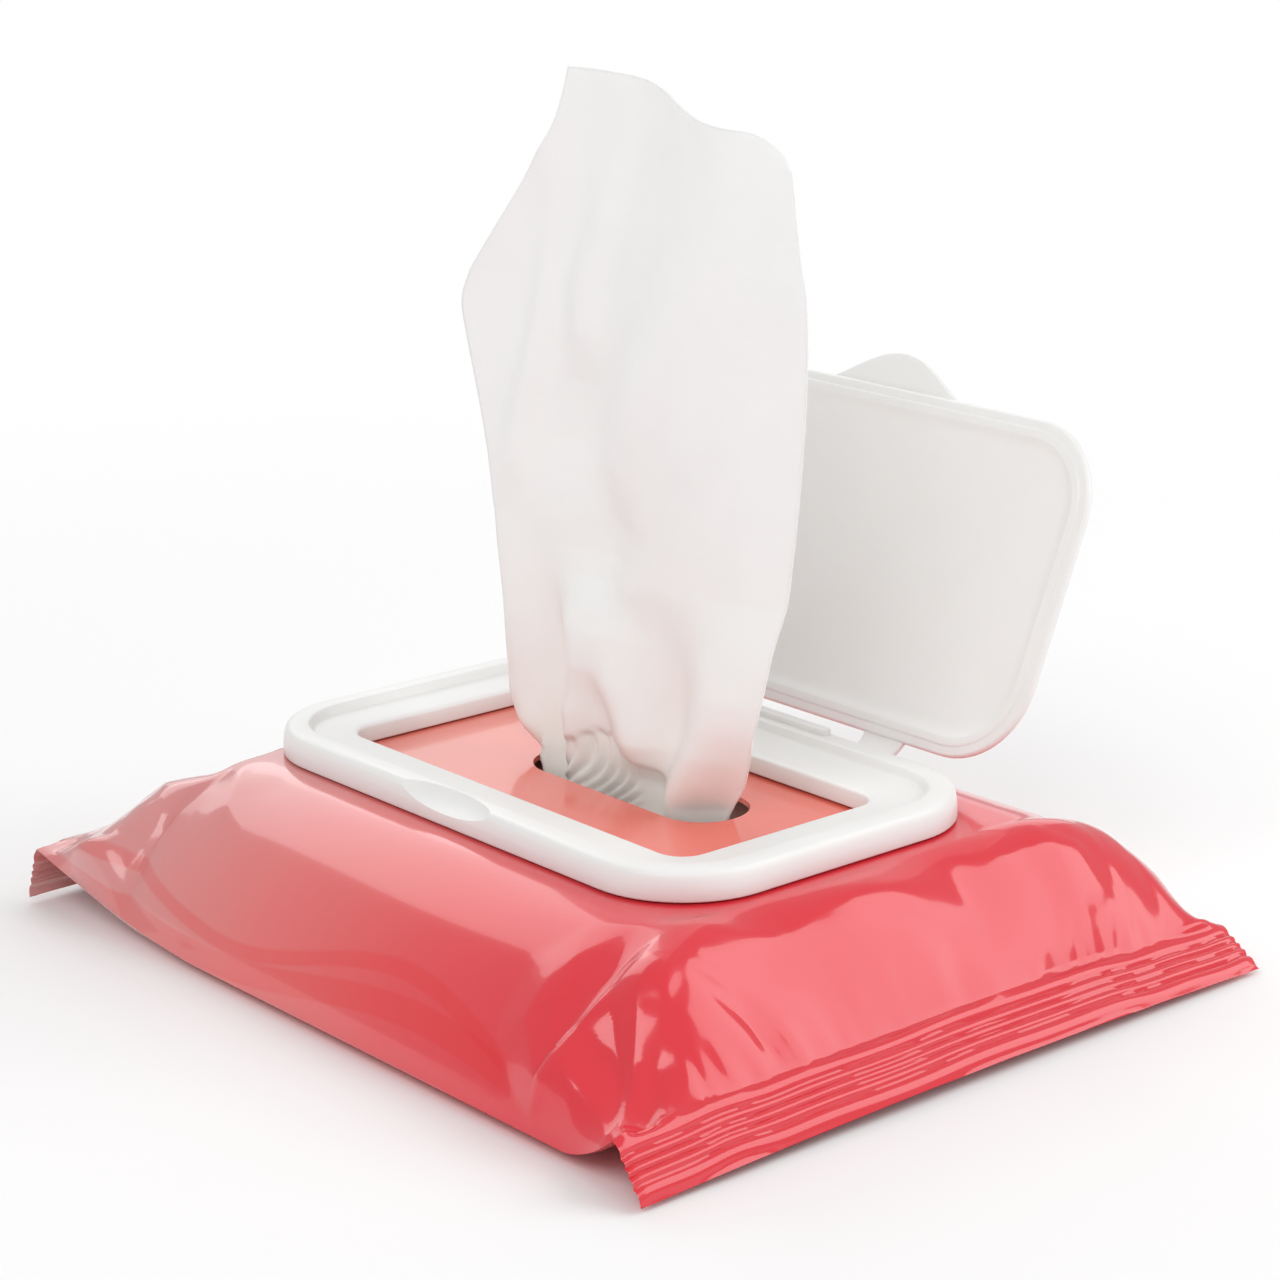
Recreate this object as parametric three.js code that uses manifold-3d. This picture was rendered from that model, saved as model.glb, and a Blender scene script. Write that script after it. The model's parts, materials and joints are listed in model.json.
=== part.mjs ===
// A flow-wrapped pack of wet wipes with a flip-top dispenser, standing open with one wipe pulled up.
// Millimetres, +Z up. The origin is on the table, under the middle of the dispenser's frame.
// +X runs along the pack towards the crimped end nearest the viewer, +Y towards the lid's hinge.

import * as THREE from "three";
import { mergeVertices } from "three/addons/utils/BufferGeometryUtils.js";
import Module from "manifold-3d";

const wasm = await Module();
wasm.setup();

// Film: a tube of laminate, sealed flat across both ends
const FILM = 0.8;
const SEAM = FILM / 2;
const FACING_Z = 26.2;
const BODY_HALF = 64;
const FLAT_HALF = 36;
const SHOULDER_LENGTH = 39;
const SHOULDER_POWER = 1.7;
const SIDE_Z = 2;
const BASE_FLAT = 0.88;
const BASE_CURL_POWER = 2.5;
const SPREAD_POWER = 1.6;
const CORNER_FROM = 0.25;
const CORNER_TO = 0.5;
const SEAL_HALF = 66;
const SEAL_WIDTH = 10;
const SEAL_CLEAR = 0.5;
const RIDGES = 5;
const RIDGE_HEIGHT = 0.4;
const RIGHT_END = {
  way: 1, start: 44, sideStart: 64, baseStart: 56, topStart: 57, tip: 83.2, frontLean: 54, backLean: 32,
  lift: 1.2, topPower: 1.8, basePower: 2.2, frontTuck: 5, backTuck: 1.5, pleat: 1.1, corner: 0, full: 0.5,
};
const LEFT_END = {
  way: -1, start: -28, sideStart: -28, baseStart: -45, topStart: -53, tip: -75.2, frontLean: 72, backLean: 60,
  lift: 0.6, topPower: 1.2, basePower: 1.7, frontTuck: 2, backTuck: 3, pleat: 0.8, corner: 4, full: 0.85,
};
const PLEATS = 3.5;
const PLEAT_PHASE = 0.6;
const FIN_HALF = 7;
const FIN_GROOVE = { width: 0.8, depth: 0.35, under: 1, from: -24, to: 42 };

// Slot in the film panel, a stadium along X
const SLOT = { x: 4, y: 2.8, halfLength: 15.2, radius: 7.8, cutDepth: 4 };

// Stack of folded wipes and the one that stands in the slot
const STACK = { left: -46, right: 53, halfWidth: 50, bottom: 1.4, top: 19, corner: 6, edge: 2 };
const WIPE_THICK = 0.7;
const WIPE_Y = 3;
const WIPE_LEFT = [
  [-12, 19.4], [-13.5, 26.5], [-23, 32], [-29, 43], [-36.6, 71.6],
  [-42, 98], [-39.5, 105], [-21, 126.5], [-14, 141.5],
];
const WIPE_RIGHT = [
  [16.5, 19.4], [17.6, 27.5], [25, 32], [33, 42], [37.2, 66],
  [40.4, 105], [38, 122], [37.4, 132], [34.5, 137],
];
const WIPE_LOOSE_ABOVE = 60;
const WIPE_GATHERS = 3.4;
const WIPE_GATHER_PHASE = 0.15;
const WIPE_GATHER_DEPTH = 5.2;
const WIPE_GATHER_FADE = 1.3;
const WIPE_FREE_DEPTH = 0.5;
const WIPE_BILLOW_DEPTH = 3.4;

// Dispenser frame, a moulded ring glued to the panel
const FRAME_LENGTH = 109.6;
const FRAME_WIDTH = 70;
const FRAME_CORNER = 17;
const FRAME_Z = 26.5;
const CREST = 4.9;
const CREST_ROUND = 2;
const FRAME_WALL = 1.2;
const RIM = 4.4;
const SEAT_DROP = 1.5;
const SEAT_STEP = 0.9;
const LIP = { height: 3.1, width: 1, ease: 0.3 };
const DRAFT = 0.4;
const MARGIN = 13;
const BACK_EXTRA = 2.4;
const LEAST_CORNER = 2;
const THUMB_SCOOP = { halfLength: 14, depth: 5, height: 4, out: 4, up: 2 };
const BACK_RIB = { halfLength: 17.5, thick: 2, rise: 1, sunk: 0.4 };

// Flip lid, drawn shut and then swung open about the hinge line
const LID_LENGTH = 100;
const LID_WIDTH = 57.7;
const LID_CORNER = 15;
const LID_Y = 0.05;
const LID_Z = 30.45;
const LID_FLANGE = 1.6;
const LID_EDGE = 0.4;
const LID_LEAST_CORNER = 3;
const LID_FIELD = 18;
const TRAY = 0.8;
const CROWN = 0.8;
const FILLET = 2.8;
const BEAD = { inset: 1.7, width: 1.3, height: 0.25, slope: 0.2 };
const TAB = { half: 15, reach: 6.2, root: 6, bottom: 31.7, thick: 1.1, edge: 0.25 };
const TAB_CURVE = { crown: 9, foot: 10.5, flare: 0.2 };
const OPEN_ANGLE = THREE.MathUtils.degToRad(113.3);
const HINGE_Y = 34.73;
const HINGE_Z = 26.79;

// Hinge straps, thin tongues of the same moulding
const STRAP = { x: 22.4, width: 9.2, thick: 0.8, gap: 0.3, rootZ: 1.5, bendY: 39.6, bendZ: 27.9 };

const white = { roughness: 0.42, metalness: 0 };
const filmRed = new THREE.MeshStandardMaterial({ color: 0xd94a57, roughness: 0.2, metalness: 0 });
const lidWhite = new THREE.MeshStandardMaterial({ color: 0xeeeeec, ...white });
const wipeWhite = new THREE.MeshStandardMaterial({ color: 0xf2f0ec, roughness: 0.9, metalness: 0 });

const { lerp, clamp, smoothstep, degToRad } = THREE.MathUtils;

// Closes rows of equal loops into one solid. A strip across the first and the last loop caps the ends.
function loft(rows, ring = false) {
  const count = rows[0].length;
  const positions = rows.flat().flatMap((p) => [p.x, p.y, p.z]);
  const faces = [];
  const quad = (a, b, c, d) => faces.push(a, b, c, a, c, d);
  const last = rows.length - 1;
  for (let row = 0; row < (ring ? rows.length : last); row += 1) {
    const next = (row + 1) % rows.length;
    for (let i = 0; i < count; i += 1) {
      const j = (i + 1) % count;
      quad(row * count + i, row * count + j, next * count + j, next * count + i);
    }
  }
  if (!ring) {
    for (let i = 0; i < count / 2 - 1; i += 1) {
      const facing = count - 1 - i;
      const top = last * count;
      quad(facing, facing - 1, i + 1, i);
      quad(top + i, top + i + 1, top + facing - 1, top + facing);
    }
  }
  const geometry = new THREE.BufferGeometry();
  geometry.setAttribute("position", new THREE.Float32BufferAttribute(positions, 3));
  geometry.setIndex(faces);
  if (signedVolume(geometry) < 0) {
    geometry.setIndex(faces.reverse());
  }
  return geometry;
}

function signedVolume(geometry) {
  const index = geometry.index.array;
  const corner = (i) => new THREE.Vector3().fromBufferAttribute(geometry.attributes.position, index[i]);
  let volume = 0;
  for (let i = 0; i < index.length; i += 3) {
    volume += corner(i).dot(corner(i + 1).cross(corner(i + 2))) / 6;
  }
  return volume;
}

function toSolid(geometry) {
  const bare = geometry.clone();
  bare.deleteAttribute("normal");
  bare.deleteAttribute("uv");
  const merged = mergeVertices(bare, 1e-4);
  const vertProperties = new Float32Array(merged.attributes.position.array);
  const triVerts = new Uint32Array(merged.index.array);
  return new wasm.Manifold(new wasm.Mesh({ numProp: 3, vertProperties, triVerts }));
}

function toGeometry(solid) {
  const mesh = solid.getMesh();
  const geometry = new THREE.BufferGeometry();
  geometry.setAttribute("position", new THREE.Float32BufferAttribute(mesh.vertProperties, 3));
  geometry.setIndex(Array.from(mesh.triVerts));
  geometry.computeVertexNormals();
  return geometry;
}

function named(name, geometry, material) {
  const mesh = new THREE.Mesh(geometry, material);
  mesh.name = name;
  return mesh;
}

// Film. s runs from -1 at the front edge of the tube to 1 at its back edge.
const FLAT_SHARE = 1 / 3;
const FLAT_LENGTH = FLAT_HALF / (FLAT_HALF + SHOULDER_LENGTH);

// Share of the half width along the flat film, which is where the point lies across an end seal.
function acrossSeal(s) {
  const t = Math.abs(s);
  if (t < FLAT_SHARE) {
    return (FLAT_LENGTH * t) / FLAT_SHARE;
  }
  return FLAT_LENGTH + ((1 - FLAT_LENGTH) * (t - FLAT_SHARE)) / (1 - FLAT_SHARE);
}

// Body section: a flat facing, then a rounded shoulder down to the side edge. rise is 1 on the facing.
function bodySection(s, half) {
  const t = Math.abs(s);
  if (t < FLAT_SHARE) {
    return { y: (FLAT_HALF * t) / FLAT_SHARE, rise: 1 };
  }
  const turn = ((t - FLAT_SHARE) / (1 - FLAT_SHARE)) * (Math.PI / 2);
  const power = 2 / SHOULDER_POWER;
  const rise = t === 1 ? 0 : Math.cos(turn) ** power;
  return { y: FLAT_HALF + (half - FLAT_HALF) * Math.sin(turn) ** power, rise };
}

// Where the end seal leaves the body, and the way it hangs from there.
function sealRoot(end, s) {
  const share = acrossSeal(s);
  const lean = degToRad(lerp(end.frontLean, end.backLean, (Math.sign(s) * share + 1) / 2));
  const tipZ = SEAL_CLEAR + SEAM + end.lift * (1 - share * share);
  return {
    x: end.tip - end.way * SEAL_WIDTH * Math.cos(lean),
    y: Math.sign(s) * share * SEAL_HALF,
    z: tipZ + SEAL_WIDTH * Math.sin(lean),
    lean,
  };
}

// One point of the film's upper or lower half. w runs from 0 on the straight body to 1 at the seal.
function filmPoint(end, s, w, upper, inset) {
  const root = sealRoot(end, s);
  const share = acrossSeal(s);
  const body = bodySection(s, BODY_HALF - 2 * inset);
  const x = lerp(end.start, root.x, w);
  const since = (from) => clamp((x - from) / (root.x - from), 0, 1);
  const base = since(end.baseStart);
  const top = since(end.topStart - end.way * end.corner * smoothstep(share, CORNER_FROM, CORNER_TO));
  const spread = since(end.sideStart) ** SPREAD_POWER;
  const sideZ = lerp(SIDE_Z, root.z, spread) + (upper ? SEAM : -SEAM);
  if (!upper) {
    const baseZ = lerp(inset, root.z - SEAM, base ** end.basePower);
    const curl = clamp((share - BASE_FLAT) / (1 - BASE_FLAT), 0, 1);
    const y = lerp(Math.sign(s) * share * (BODY_HALF - 2 * inset), root.y, spread);
    return new THREE.Vector3(x, y, lerp(baseZ, sideZ, curl ** BASE_CURL_POWER));
  }
  const fold = Math.sin(Math.PI * top);
  const topZ = lerp(FACING_Z - inset, root.z + SEAM, top ** end.topPower);
  const pleat = end.pleat * fold * Math.cos(PLEATS * Math.PI * share * Math.sign(s) + PLEAT_PHASE);
  const tuck = (s < 0 ? end.frontTuck : end.backTuck) * fold * 4 * body.rise * (1 - body.rise);
  const y = lerp(Math.sign(s) * body.y, root.y, spread) - Math.sign(s) * tuck;
  const rise = body.rise ** (1 - end.full * Math.sqrt(Math.max(fold, 0)));
  return new THREE.Vector3(x, y, lerp(sideZ, topZ + pleat, rise));
}

// One point of the crimped strip, a step along it from the root.
function sealPoint(end, s, step, upper) {
  const root = sealRoot(end, s);
  const along = (SEAL_WIDTH * step) / (2 * RIDGES);
  const proud = (upper ? SEAM : -SEAM) + (step % 2 === 1 ? RIDGE_HEIGHT : 0);
  const x = root.x + end.way * (along * Math.cos(root.lean) + proud * Math.sin(root.lean));
  const z = root.z - along * Math.sin(root.lean) + proud * Math.cos(root.lean);
  return new THREE.Vector3(x, root.y, z);
}

function filmLoop(segments, point) {
  const loop = [];
  for (let i = 0; i <= segments; i += 1) {
    loop.push(point((2 * i) / segments - 1, true));
  }
  for (let i = segments; i >= 0; i -= 1) {
    loop.push(point((2 * i) / segments - 1, false));
  }
  return loop;
}

function filmRows(end, segments, steps, reach, inset) {
  const rows = [];
  for (let i = 0; i <= steps; i += 1) {
    rows.push(filmLoop(segments, (s, upper) => filmPoint(end, s, (reach * i) / steps, upper, inset)));
  }
  return rows;
}

function sealRows(end, segments) {
  const rows = [];
  for (let step = 1; step <= 2 * RIDGES; step += 1) {
    rows.push(filmLoop(segments, (s, upper) => sealPoint(end, s, step, upper)));
  }
  return rows;
}

function stadium(centreX, centreY, halfLength, radius) {
  const shape = new THREE.Shape();
  shape.absarc(centreX + halfLength, centreY, radius, -Math.PI / 2, Math.PI / 2);
  shape.absarc(centreX - halfLength, centreY, radius, Math.PI / 2, (3 * Math.PI) / 2);
  return shape;
}

function boxBetween(low, high) {
  const box = new THREE.BoxGeometry(high[0] - low[0], high[1] - low[1], high[2] - low[2]);
  return box.translate((low[0] + high[0]) / 2, (low[1] + high[1]) / 2, (low[2] + high[2]) / 2);
}

function makeFilm() {
  const across = 24;
  const steps = 10;
  const leftRows = [...filmRows(LEFT_END, across, steps, 1, 0), ...sealRows(LEFT_END, across)].reverse();
  const rightRows = [...filmRows(RIGHT_END, across, steps, 1, 0), ...sealRows(RIGHT_END, across)];
  const outside = toSolid(loft([...leftRows, ...rightRows]));

  const insideReach = 0.6;
  const insideSteps = 4;
  const insideLeft = filmRows(LEFT_END, across / 2, insideSteps, insideReach, FILM).reverse();
  const insideRight = filmRows(RIGHT_END, across / 2, insideSteps, insideReach, FILM);
  const inside = toSolid(loft([...insideLeft, ...insideRight]));

  const mouth = stadium(SLOT.x, SLOT.y, SLOT.halfLength, SLOT.radius);
  const punchOptions = { depth: SLOT.cutDepth, bevelEnabled: false, curveSegments: 14 };
  const punch = new THREE.ExtrudeGeometry(mouth, punchOptions);
  punch.translate(0, 0, FACING_Z - SLOT.cutDepth / 2);

  let film = outside.subtract(inside).subtract(toSolid(punch));
  for (const side of [-1, 1]) {
    const low = [FIN_GROOVE.from, side * FIN_HALF - FIN_GROOVE.width / 2, -FIN_GROOVE.under];
    const high = [FIN_GROOVE.to, side * FIN_HALF + FIN_GROOVE.width / 2, FIN_GROOVE.depth];
    film = film.subtract(toSolid(boxBetween(low, high)));
  }
  return named("film_pack", toGeometry(film), filmRed);
}

// Rounded rectangle between two corners, as points that run anticlockwise from the front left corner.
function roundedOutline(left, right, front, back, radius, z, turns = 7) {
  const corners = [
    [left + radius, front + radius, Math.PI],
    [right - radius, front + radius, 1.5 * Math.PI],
    [right - radius, back - radius, 0],
    [left + radius, back - radius, 0.5 * Math.PI],
  ];
  const points = [];
  for (const [x, y, start] of corners) {
    for (let i = 0; i <= turns; i += 1) {
      const angle = start + (i / turns) * (Math.PI / 2);
      points.push(new THREE.Vector3(x + radius * Math.cos(angle), y + radius * Math.sin(angle), z));
    }
  }
  return points;
}

function makeStack() {
  const { left, right, halfWidth, bottom, top, corner, edge } = STACK;
  const layer = (inset, z) =>
    roundedOutline(left + inset, right - inset, inset - halfWidth, halfWidth - inset, corner - inset, z, 4);
  const rows = [layer(edge, bottom), layer(0, bottom + edge), layer(0, top - edge), layer(edge, top)];
  return named("wipes_stack", loft(rows), wipeWhite);
}

// The pulled wipe: gathered in the slot, opening out to a soft billowing sheet with a slanting cut edge.
function makePulledWipe() {
  const edge = (points) => new THREE.CatmullRomCurve3(points.map(([x, z]) => new THREE.Vector3(x, 0, z)));
  const leftEdge = edge(WIPE_LEFT);
  const rightEdge = edge(WIPE_RIGHT);
  const across = 34;
  const up = 20;
  const near = 0.01;
  const centre = (s, v) => {
    const from = leftEdge.getPointAt(v);
    const to = rightEdge.getPointAt(v);
    const x = lerp(from.x, to.x, s);
    const z = lerp(from.z, to.z, s);
    const loose = clamp((z - FACING_Z) / WIPE_LOOSE_ABOVE, 0, 1);
    const gather = WIPE_GATHER_DEPTH * (1 - loose) ** WIPE_GATHER_FADE + WIPE_FREE_DEPTH;
    const wave = gather * Math.sin(2 * Math.PI * (WIPE_GATHERS * s + WIPE_GATHER_PHASE));
    const swell = WIPE_BILLOW_DEPTH * loose * Math.sin(2 * Math.PI * s);
    return new THREE.Vector3(x, WIPE_Y + wave + swell, z);
  };
  const rows = [];
  for (let row = 0; row <= up; row += 1) {
    const v = row / up;
    const front = [];
    const back = [];
    for (let i = 0; i <= across; i += 1) {
      const s = i / across;
      const here = centre(s, v);
      const before = centre(Math.max(s - near, 0), v);
      const after = centre(Math.min(s + near, 1), v);
      const normal = new THREE.Vector3(before.y - after.y, after.x - before.x, 0).normalize();
      front.push(here.clone().addScaledVector(normal, -WIPE_THICK / 2));
      back.unshift(here.clone().addScaledVector(normal, WIPE_THICK / 2));
    }
    rows.push([...front, ...back]);
  }
  return named("pulled_wipe", loft(rows), wipeWhite);
}

// The frame's outline at a distance in from its outer edge. The back margin is wider than the others.
function frameOutline(inset, z) {
  const share = inset / MARGIN;
  return roundedOutline(
    inset - FRAME_LENGTH / 2,
    FRAME_LENGTH / 2 - inset,
    inset - FRAME_WIDTH / 2,
    FRAME_WIDTH / 2 - inset - BACK_EXTRA * share ** 2,
    Math.max(FRAME_CORNER - inset, LEAST_CORNER),
    FRAME_Z + z,
  );
}

function makeFrame() {
  const seat = CREST - SEAT_DROP;
  const turns = 4;
  const section = [];
  for (let i = 0; i <= turns; i += 1) {
    const angle = (i / turns) * (Math.PI / 2);
    section.push([CREST_ROUND * (1 - Math.cos(angle)), CREST * Math.sin(angle)]);
  }
  section.push(
    [RIM, CREST],
    [RIM + SEAT_STEP, seat],
    [MARGIN - DRAFT - LIP.width, LIP.height],
    [MARGIN - DRAFT, LIP.height - LIP.ease],
    [MARGIN, 0],
    [MARGIN - FRAME_WALL, 0],
    [MARGIN - FRAME_WALL - DRAFT, LIP.height - FRAME_WALL],
    [RIM + SEAT_STEP + DRAFT, seat - FRAME_WALL],
    [RIM - DRAFT, CREST - FRAME_WALL],
    [CREST_ROUND + DRAFT, CREST - FRAME_WALL],
    [FRAME_WALL + DRAFT, CREST / 2],
    [FRAME_WALL + DRAFT / 2, 0],
  );
  let frame = toSolid(loft(section.map(([inset, z]) => frameOutline(inset, z)), true));

  const scoop = new THREE.SphereGeometry(1, 20, 12);
  scoop.scale(THUMB_SCOOP.halfLength, THUMB_SCOOP.depth, THUMB_SCOOP.height);
  scoop.translate(0, -FRAME_WIDTH / 2 - THUMB_SCOOP.out, FRAME_Z + CREST + THUMB_SCOOP.up);
  frame = frame.subtract(toSolid(scoop));

  const ribShape = stadium(0, 0, BACK_RIB.halfLength - BACK_RIB.thick / 2, BACK_RIB.thick / 2);
  const ribDepth = BACK_RIB.rise + BACK_RIB.sunk;
  const rib = new THREE.ExtrudeGeometry(ribShape, { depth: ribDepth, bevelEnabled: false, curveSegments: 6 });
  rib.translate(0, FRAME_WIDTH / 2 - RIM / 2, FRAME_Z + CREST - BACK_RIB.sunk);
  return named("lid_frame", toGeometry(frame.add(toSolid(rib))), lidWhite);
}

function makeLid() {
  const outline = (inset, z) =>
    roundedOutline(
      inset - LID_LENGTH / 2,
      LID_LENGTH / 2 - inset,
      LID_Y + inset - LID_WIDTH / 2,
      LID_Y + LID_WIDTH / 2 - inset,
      Math.max(LID_CORNER - inset, LID_LEAST_CORNER),
      LID_Z + z,
    );
  const beadEnd = BEAD.inset + BEAD.width;
  const section = [
    [LID_FIELD, TRAY],
    [beadEnd + FILLET, TRAY],
    [beadEnd + 0.4 * FILLET, 0.5 * TRAY],
    [beadEnd + BEAD.slope, -BEAD.height],
    [BEAD.inset + BEAD.slope, -BEAD.height],
    [BEAD.inset, 0],
    [LID_EDGE, 0],
    [0, LID_EDGE],
    [0, LID_FLANGE - LID_EDGE],
    [LID_EDGE, LID_FLANGE],
    [beadEnd, LID_FLANGE + 0.3 * CROWN],
    [0.5 * LID_FIELD, LID_FLANGE + 0.8 * CROWN],
    [LID_FIELD, LID_FLANGE + CROWN],
  ];
  const plate = toSolid(loft(section.map(([inset, z]) => outline(inset, z))));

  const edgeY = LID_Y - LID_WIDTH / 2;
  const tipY = edgeY - TAB.reach;
  const { crown, foot, flare } = TAB_CURVE;
  const tabShape = new THREE.Shape();
  tabShape.moveTo(TAB.half, edgeY + TAB.root);
  tabShape.lineTo(-TAB.half, edgeY + TAB.root);
  tabShape.lineTo(-TAB.half, edgeY);
  tabShape.bezierCurveTo(-foot, edgeY - flare, -crown, tipY, 0, tipY);
  tabShape.bezierCurveTo(crown, tipY, foot, edgeY - flare, TAB.half, edgeY);
  const tab = new THREE.ExtrudeGeometry(tabShape, {
    depth: TAB.thick - 2 * TAB.edge,
    bevelThickness: TAB.edge,
    bevelSize: TAB.edge,
    bevelOffset: -TAB.edge,
    bevelSegments: 1,
    curveSegments: 9,
  });
  tab.translate(0, 0, TAB.bottom + TAB.edge);

  const geometry = toGeometry(plate.add(toSolid(tab)));
  geometry.translate(0, -HINGE_Y, -HINGE_Z);
  const swing = new THREE.Group();
  swing.position.set(0, HINGE_Y, HINGE_Z);
  swing.rotation.x = -OPEN_ANGLE;
  swing.add(named("flip_lid", geometry, lidWhite));
  return swing;
}

// A point of the shut lid, in the plane across the hinge, as it stands when the lid is open.
function openPoint(y, z) {
  const arm = new THREE.Vector2(y - HINGE_Y, z - HINGE_Z);
  return arm.rotateAround(new THREE.Vector2(), -OPEN_ANGLE).add(new THREE.Vector2(HINGE_Y, HINGE_Z));
}

function makeStraps() {
  const root = new THREE.Vector2(FRAME_WIDTH / 2 + STRAP.gap, FRAME_Z + STRAP.rootZ);
  const bend = new THREE.Vector2(STRAP.bendY, STRAP.bendZ);
  const tip = openPoint(LID_Y + LID_WIDTH / 2 + STRAP.gap, LID_Z + LID_FLANGE / 2);
  const curve = new THREE.QuadraticBezierCurve(root, bend, tip);
  const side = (way) =>
    curve.getPoints(7).map((point, i, all) => {
      const tangent = curve.getTangent(i / (all.length - 1));
      const offset = new THREE.Vector2(-tangent.y, tangent.x).multiplyScalar((way * STRAP.thick) / 2);
      return point.add(offset);
    });
  const shape = new THREE.Shape([...side(-1), ...side(1).reverse()]);
  const acrossX = new THREE.Matrix4().makeBasis(
    new THREE.Vector3(0, 1, 0),
    new THREE.Vector3(0, 0, 1),
    new THREE.Vector3(1, 0, 0),
  );
  return [["left", -1], ["right", 1]].map(([name, way]) => {
    const strap = new THREE.ExtrudeGeometry(shape, { depth: STRAP.width, bevelEnabled: false });
    strap.applyMatrix4(acrossX);
    strap.translate(way * STRAP.x - STRAP.width / 2, 0, 0);
    return named(`hinge_strap_${name}`, strap, lidWhite);
  });
}

const pack = new THREE.Group();
pack.add(makeFilm(), makeStack(), makePulledWipe(), makeFrame(), ...makeStraps(), makeLid());

export default pack;
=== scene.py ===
import json
import math

import bmesh
import bpy
import numpy as np
from mathutils import Matrix, Vector, noise


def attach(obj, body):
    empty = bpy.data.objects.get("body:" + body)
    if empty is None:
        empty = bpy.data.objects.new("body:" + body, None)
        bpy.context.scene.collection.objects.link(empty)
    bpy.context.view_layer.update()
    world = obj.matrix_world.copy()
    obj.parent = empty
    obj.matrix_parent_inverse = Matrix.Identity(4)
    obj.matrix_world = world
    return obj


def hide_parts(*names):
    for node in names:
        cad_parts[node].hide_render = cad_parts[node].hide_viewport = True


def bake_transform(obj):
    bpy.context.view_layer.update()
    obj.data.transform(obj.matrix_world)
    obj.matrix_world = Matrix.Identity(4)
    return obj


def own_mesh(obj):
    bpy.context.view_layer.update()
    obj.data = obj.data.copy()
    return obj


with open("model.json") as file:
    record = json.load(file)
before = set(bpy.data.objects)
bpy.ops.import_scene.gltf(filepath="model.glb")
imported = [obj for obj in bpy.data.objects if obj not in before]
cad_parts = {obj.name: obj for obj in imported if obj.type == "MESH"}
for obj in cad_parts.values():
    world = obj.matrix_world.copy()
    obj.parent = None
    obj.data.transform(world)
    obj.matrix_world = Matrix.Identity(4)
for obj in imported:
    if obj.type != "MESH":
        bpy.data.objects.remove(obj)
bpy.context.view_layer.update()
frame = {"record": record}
bpy.ops.object.select_all(action="DESELECT")

# Wrapper: one tube of printed plastic laminate, glossy outside. Heated jaws crimp both ends into flat
# ribbed seals, which pull the film into facets and fans of creases, and a fin seal runs underneath.
# The dispensing slot is die-cut in the flat top panel.
MM = 0.001
FACING_Z = 26.2 * MM
BODY_HALF = 64 * MM
FLAT_HALF = 36 * MM
SHOULDER_LENGTH = 39 * MM
SHOULDER_POWER = 1.7
SIDE_Z = 2 * MM
BASE_FLAT = 0.88
BASE_CURL_POWER = 2.5
SPREAD_POWER = 1.6
SEAM = 0.3 * MM
SEAL_HALF = 66 * MM
SEAL_WIDTH = 10 * MM
SEAL_CLEAR = 0.5 * MM
SEAL_RIDGES = 5
RIDGE_HEIGHT = 0.5 * MM
CORNER_FROM = 0.25
CORNER_TO = 0.5
PLEATS = 3.5
PLEAT_PHASE = 0.6
RIGHT_END = {
    "way": 1, "start": 44 * MM, "side": 64 * MM, "base": 56 * MM, "top": 57 * MM, "tip": 83.2 * MM,
    "front_lean": 54, "back_lean": 32, "lift": 1.2 * MM, "top_power": 1.8, "base_power": 2.2,
    "front_tuck": 5 * MM, "back_tuck": 1.5 * MM, "pleat": 1.1 * MM, "corner": 0, "full": 0.5,
}
LEFT_END = {
    "way": -1, "start": -28 * MM, "side": -28 * MM, "base": -45 * MM, "top": -53 * MM, "tip": -75.2 * MM,
    "front_lean": 72, "back_lean": 60, "lift": 0.6 * MM, "top_power": 1.2, "base_power": 1.7,
    "front_tuck": 2 * MM, "back_tuck": 3 * MM, "pleat": 0.8 * MM, "corner": 4 * MM, "full": 0.85,
}
FLAT_SHARE = 1 / 3
FLAT_LENGTH = FLAT_HALF / (FLAT_HALF + SHOULDER_LENGTH)
SHEET_HALF = FLAT_HALF + SHOULDER_LENGTH


def ease(value, low, high):
    t = np.clip((value - low) / (high - low), 0, 1)
    return t * t * (3 - 2 * t)


def mix(low, high, share):
    return low + (high - low) * share


# A point across the film: its side, its share of the half width along the flat sheet, and the body there.
def film_section(s, narrow=0):
    side = np.sign(s)
    t = np.abs(s)
    past = np.clip((t - FLAT_SHARE) / (1 - FLAT_SHARE), 0, 1)
    on_panel = np.clip(t / FLAT_SHARE, 0, 1)
    share = FLAT_LENGTH * on_panel + (1 - FLAT_LENGTH) * past
    bow = 2 / SHOULDER_POWER
    turn = past * np.pi / 2
    rise = np.where(t >= 1, 0, np.abs(np.cos(turn)) ** bow)
    half = BODY_HALF - narrow
    y = FLAT_HALF * on_panel + (half - FLAT_HALF) * np.sin(turn) ** bow
    return side, share, y, rise


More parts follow.
